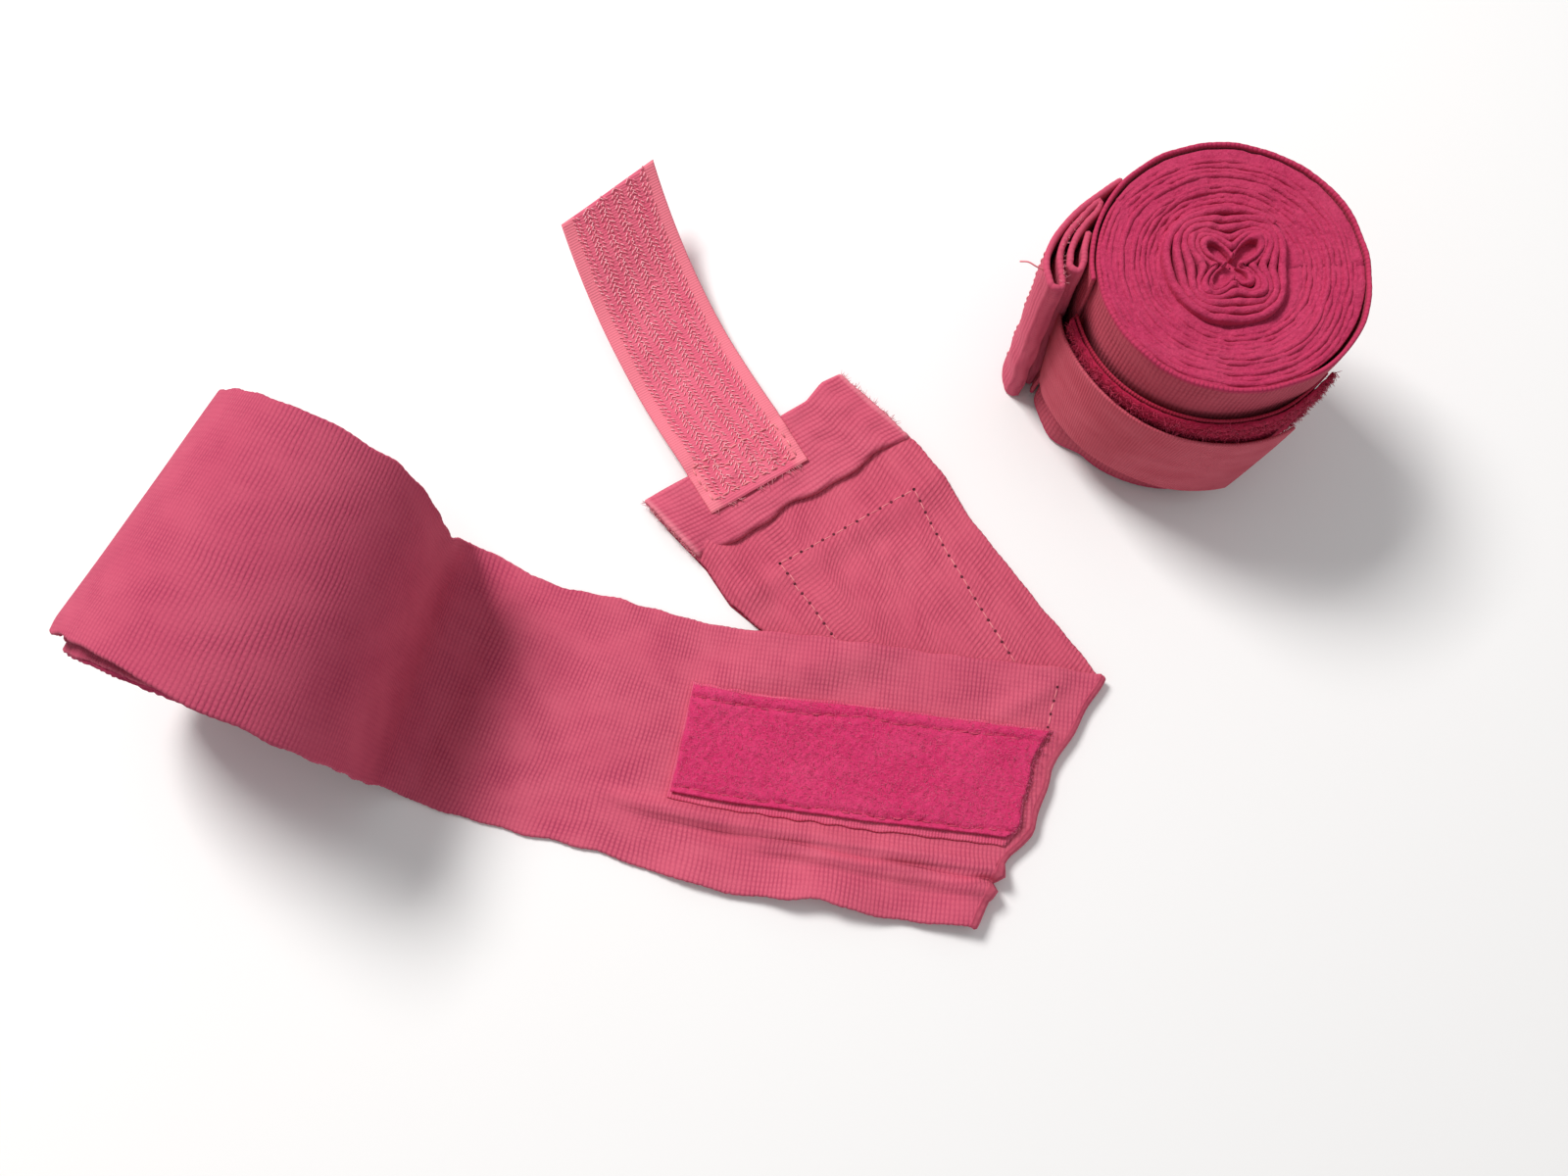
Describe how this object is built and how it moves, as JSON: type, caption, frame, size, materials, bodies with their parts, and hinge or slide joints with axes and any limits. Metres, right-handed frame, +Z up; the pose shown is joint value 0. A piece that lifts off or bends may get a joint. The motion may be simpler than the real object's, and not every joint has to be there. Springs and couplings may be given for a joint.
{
  "type": "hand wrap",
  "caption": "Pair of pink elastic boxing hand wraps: one partly unrolled with its hook strip free, one rolled and fastened.",
  "frame": {"origin": "middle of the pair's footprint, on the table", "axes": "+X along the pair's longest extent, from the loose roll towards the standing roll; +Y away from the folded edge towards the free hook strip's tip; +Z up from the table"},
  "size_m": [0.2366, 0.146, 0.0559],
  "materials": {
    "band": "woven elastic cotton, fine grid",
    "loop_tape": "flat woven tape",
    "loop_pile": "brushed loop pile",
    "hook_tape": "ribbed woven tape",
    "hooks": "nylon hooks, slightly shiny",
    "thread": "sewing thread",
    "label": "blank woven label"
  },
  "bodies": {
    "tail": {"tail_band": "band", "tail_hem": "band", "tail_label": "label", "label_stitching": "thread", "hem_stitching": "thread", "hook_strip_root": "hook_tape", "strip_stitching": "thread", "fold_turn": "band"},
    "open_strip": {"hook_strip_tape": "hook_tape", "hook_strip_hooks": "hooks"},
    "run": {"patch_panel": "band", "free_run": "band", "loop_patch_backing": "loop_tape", "loop_patch_pile": "loop_pile", "loop_patch_stitching": "thread"},
    "roll_lead": {"band_ramp": "band"},
    "roll": {"rolled_band": "band", "core_folds": "band", "thumb_loop": "band", "thumb_loop_stitching": "thread"},
    "second_wrap": {"second_rolled_band": "band", "second_core_folds": "band", "second_thumb_loop": "band", "second_thumb_loop_stitching": "thread", "second_hem": "band", "second_hem_stitching": "thread", "second_loop_backing": "loop_tape", "second_loop_pile": "loop_pile"},
    "closed_strip": {"closed_strip_tape": "hook_tape", "closed_strip_hooks": "hooks"}
  },
  "joints": [
    {"name": "fold_open", "type": "hinge", "parent": "tail", "child": "run", "pos_m": [0.06258, -0.04896, 0.0016], "axis": [0.5075, 0.8616, 0], "range_deg": [0, 120], "deforming": ["fold_turn"]},
    {"name": "roll_travel", "type": "slide", "parent": "run", "child": "roll_lead", "axis": [0.9336, -0.3584, 0], "range_m": [0, 0.035], "deforming": ["free_run"]},
    {"name": "roll_spin", "type": "hinge", "parent": "roll_lead", "child": "roll", "pos_m": [-0.08372, -0.0118, 0.0275], "axis": [-0.3584, -0.9336, 0], "range_deg": [0, 75]},
    {"name": "hook_strip_flex", "type": "hinge", "parent": "tail", "child": "open_strip", "pos_m": [0.0021, 0.02571, 0.0036], "axis": [0.8434, 0.5373, 0], "range_deg": [0, 100]},
    {"name": "rolled_wrap_lift", "type": "slide", "parent": "tail", "child": "second_wrap", "axis": [0, 0, 1], "range_m": [0, 0.12]},
    {"name": "closed_strip_peel", "type": "hinge", "parent": "second_wrap", "child": "closed_strip", "pos_m": [0.06553, 0.03659, 0.025], "axis": [0, 0, -1], "range_deg": [0, 95]}
  ],
  "couplings": [
    {"joint": "roll_spin", "follows": "roll_travel", "rad_per_m": 36.63}
  ]
}
